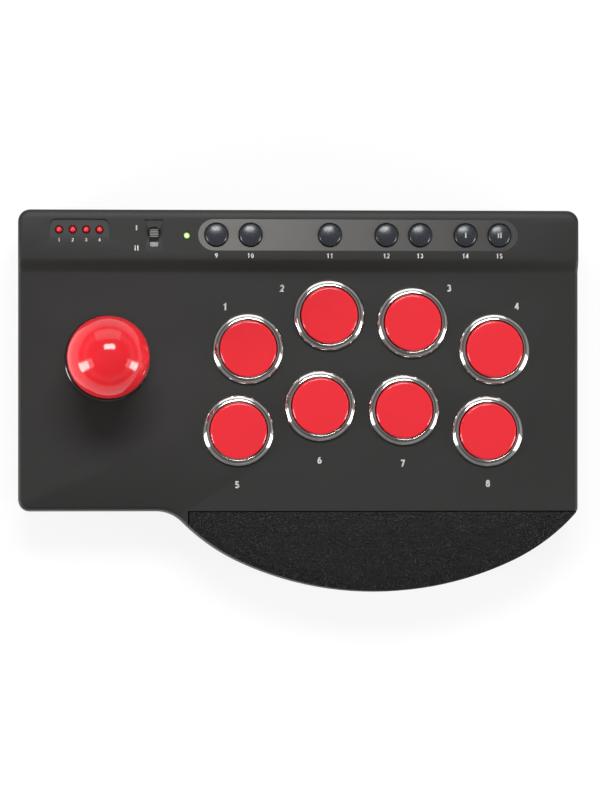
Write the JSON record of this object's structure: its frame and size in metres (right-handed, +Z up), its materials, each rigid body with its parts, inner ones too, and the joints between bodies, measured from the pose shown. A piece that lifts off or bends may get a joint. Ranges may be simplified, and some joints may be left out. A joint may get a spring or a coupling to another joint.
{
  "type": "arcade fight stick",
  "caption": "Tabletop game controller with a ball-top lever, round push buttons, a row of small keys, a slide switch and a padded wrist rest.",
  "frame": {"origin": "bottom centre of the bounding box, on the plane that the feet stand on, with the case outline centred in plan", "axes": "+X to the player's right along the width, +Y away from the player towards the rear edge, +Z up"},
  "size_m": [0.28, 0.19, 0.1135],
  "materials": {
    "case_top": "moulded ABS with a soft matt coat",
    "case_base": "moulded ABS, fine spark texture",
    "leatherette": "grained leatherette over foam",
    "inlay": "satin polycarbonate plate",
    "rubber": "moulded rubber",
    "steel": "zinc-plated steel",
    "red_caps": "glossy red ABS",
    "chromed_bezel": "chrome-plated ABS",
    "switch_housing": "glass-filled nylon",
    "menu_caps": "glossy black ABS",
    "circuit_board": "green solder resist on glass epoxy",
    "slide_grey": "grey moulded acetal",
    "lamp_red": "clear red epoxy",
    "lamp_green": "clear epoxy, lit green",
    "ball_red": "polished red phenolic",
    "chromed_steel": "chromed steel rod",
    "nylon": "natural nylon",
    "lever_plastic": "black acetal",
    "washer_black": "polished black acetal"
  },
  "bodies": {
    "case": {"top_shell": "case_top", "base_shell": "case_base", "wrist_pad": "leatherette", "inlay_plate": "inlay", "rubber_feet": "rubber", "case_screws": "steel", "button_bezel_1": "chromed_bezel", "button_bezel_2": "chromed_bezel", "button_bezel_3": "chromed_bezel", "button_bezel_4": "chromed_bezel", "button_bezel_5": "chromed_bezel", "button_bezel_6": "chromed_bezel", "button_bezel_7": "chromed_bezel", "button_bezel_8": "chromed_bezel", "button_switch_1": "switch_housing", "button_switch_2": "switch_housing", "button_switch_3": "switch_housing", "button_switch_4": "switch_housing", "button_switch_5": "switch_housing", "button_switch_6": "switch_housing", "button_switch_7": "switch_housing", "button_switch_8": "switch_housing", "menu_dome_pad": "rubber", "menu_board": "circuit_board", "board_screws": "steel", "main_board": "circuit_board", "slide_switch_body": "slide_grey", "player_lamps": "lamp_red", "power_lamp": "lamp_green", "cable_inlet": "rubber", "stick_housing": "lever_plastic", "stick_plate": "steel", "restrictor_gate": "lever_plastic", "stick_switches": "switch_housing", "stick_screws": "steel"},
    "button_1": {"button_cap_1": "red_caps"},
    "button_2": {"button_cap_2": "red_caps"},
    "button_3": {"button_cap_3": "red_caps"},
    "button_4": {"button_cap_4": "red_caps"},
    "button_5": {"button_cap_5": "red_caps"},
    "button_6": {"button_cap_6": "red_caps"},
    "button_7": {"button_cap_7": "red_caps"},
    "button_8": {"button_cap_8": "red_caps"},
    "menu_key_1": {"menu_button_1": "menu_caps"},
    "menu_key_2": {"menu_button_2": "menu_caps"},
    "menu_key_3": {"menu_button_3": "menu_caps"},
    "menu_key_4": {"menu_button_4": "menu_caps"},
    "menu_key_5": {"menu_button_5": "menu_caps"},
    "menu_key_6": {"menu_button_6": "menu_caps"},
    "menu_key_7": {"menu_button_7": "menu_caps"},
    "slide": {"slide_knob": "slide_grey"},
    "lever_carrier": {"stick_spring": "steel"},
    "lever": {"ball_top": "ball_red", "stick_shaft": "chromed_steel", "pivot_ball": "nylon", "stick_actuator": "lever_plastic", "retaining_clip": "steel"},
    "washer_carrier": {"lower_washer": "washer_black"},
    "washer": {"dust_washer": "washer_black"}
  },
  "joints": [
    {"name": "button_press_1", "type": "slide", "parent": "case", "child": "button_1", "axis": [0, -0.0523, 0.9986], "range_m": [-0.003, 0], "stiffness_N_per_m": 170, "springref_m": 0.0015},
    {"name": "button_press_2", "type": "slide", "parent": "case", "child": "button_2", "axis": [0, -0.0523, 0.9986], "range_m": [-0.003, 0], "stiffness_N_per_m": 170, "springref_m": 0.0015},
    {"name": "button_press_3", "type": "slide", "parent": "case", "child": "button_3", "axis": [0, -0.0523, 0.9986], "range_m": [-0.003, 0], "stiffness_N_per_m": 170, "springref_m": 0.0015},
    {"name": "button_press_4", "type": "slide", "parent": "case", "child": "button_4", "axis": [0, -0.0523, 0.9986], "range_m": [-0.003, 0], "stiffness_N_per_m": 170, "springref_m": 0.0015},
    {"name": "button_press_5", "type": "slide", "parent": "case", "child": "button_5", "axis": [0, -0.0523, 0.9986], "range_m": [-0.003, 0], "stiffness_N_per_m": 170, "springref_m": 0.0015},
    {"name": "button_press_6", "type": "slide", "parent": "case", "child": "button_6", "axis": [0, -0.0523, 0.9986], "range_m": [-0.003, 0], "stiffness_N_per_m": 170, "springref_m": 0.0015},
    {"name": "button_press_7", "type": "slide", "parent": "case", "child": "button_7", "axis": [0, -0.0523, 0.9986], "range_m": [-0.003, 0], "stiffness_N_per_m": 170, "springref_m": 0.0015},
    {"name": "button_press_8", "type": "slide", "parent": "case", "child": "button_8", "axis": [0, -0.0523, 0.9986], "range_m": [-0.003, 0], "stiffness_N_per_m": 170, "springref_m": 0.0015},
    {"name": "menu_press_1", "type": "slide", "parent": "case", "child": "menu_key_1", "axis": [0, -0.0523, 0.9986], "range_m": [-0.001, 0], "stiffness_N_per_m": 400, "springref_m": 0.001},
    {"name": "menu_press_2", "type": "slide", "parent": "case", "child": "menu_key_2", "axis": [0, -0.0523, 0.9986], "range_m": [-0.001, 0], "stiffness_N_per_m": 400, "springref_m": 0.001},
    {"name": "menu_press_3", "type": "slide", "parent": "case", "child": "menu_key_3", "axis": [0, -0.0523, 0.9986], "range_m": [-0.001, 0], "stiffness_N_per_m": 400, "springref_m": 0.001},
    {"name": "menu_press_4", "type": "slide", "parent": "case", "child": "menu_key_4", "axis": [0, -0.0523, 0.9986], "range_m": [-0.001, 0], "stiffness_N_per_m": 400, "springref_m": 0.001},
    {"name": "menu_press_5", "type": "slide", "parent": "case", "child": "menu_key_5", "axis": [0, -0.0523, 0.9986], "range_m": [-0.001, 0], "stiffness_N_per_m": 400, "springref_m": 0.001},
    {"name": "menu_press_6", "type": "slide", "parent": "case", "child": "menu_key_6", "axis": [0, -0.0523, 0.9986], "range_m": [-0.001, 0], "stiffness_N_per_m": 400, "springref_m": 0.001},
    {"name": "menu_press_7", "type": "slide", "parent": "case", "child": "menu_key_7", "axis": [0, -0.0523, 0.9986], "range_m": [-0.001, 0], "stiffness_N_per_m": 400, "springref_m": 0.001},
    {"name": "slide_shift", "type": "slide", "parent": "case", "child": "slide", "axis": [0, -0.9986, -0.0523], "range_m": [0, 0.0022]},
    {"name": "lever_tilt_x", "type": "hinge", "parent": "case", "child": "lever_carrier", "pos_m": [-0.0957, 0.02188, 0.03529], "axis": [1, 0, 0], "range_deg": [-9, 9], "stiffness_Nm_per_rad": 0.95, "deforming": ["stick_spring"]},
    {"name": "lever_tilt_y", "type": "hinge", "parent": "lever_carrier", "child": "lever", "pos_m": [-0.0957, 0.02188, 0.03529], "axis": [0, 0.9986, 0.0523], "range_deg": [-9, 9], "stiffness_Nm_per_rad": 0.95},
    {"name": "washer_slide_x", "type": "slide", "parent": "case", "child": "washer_carrier", "axis": [1, 0, 0], "range_m": [-0.00231, 0.00231]},
    {"name": "washer_slide_y", "type": "slide", "parent": "washer_carrier", "child": "washer", "axis": [0, 0.9986, 0.0523], "range_m": [-0.00231, 0.00231]}
  ],
  "couplings": [
    {"joint": "washer_slide_x", "follows": "lever_tilt_y", "m_per_rad": 0.0141},
    {"joint": "washer_slide_y", "follows": "lever_tilt_x", "m_per_rad": -0.0141}
  ]
}
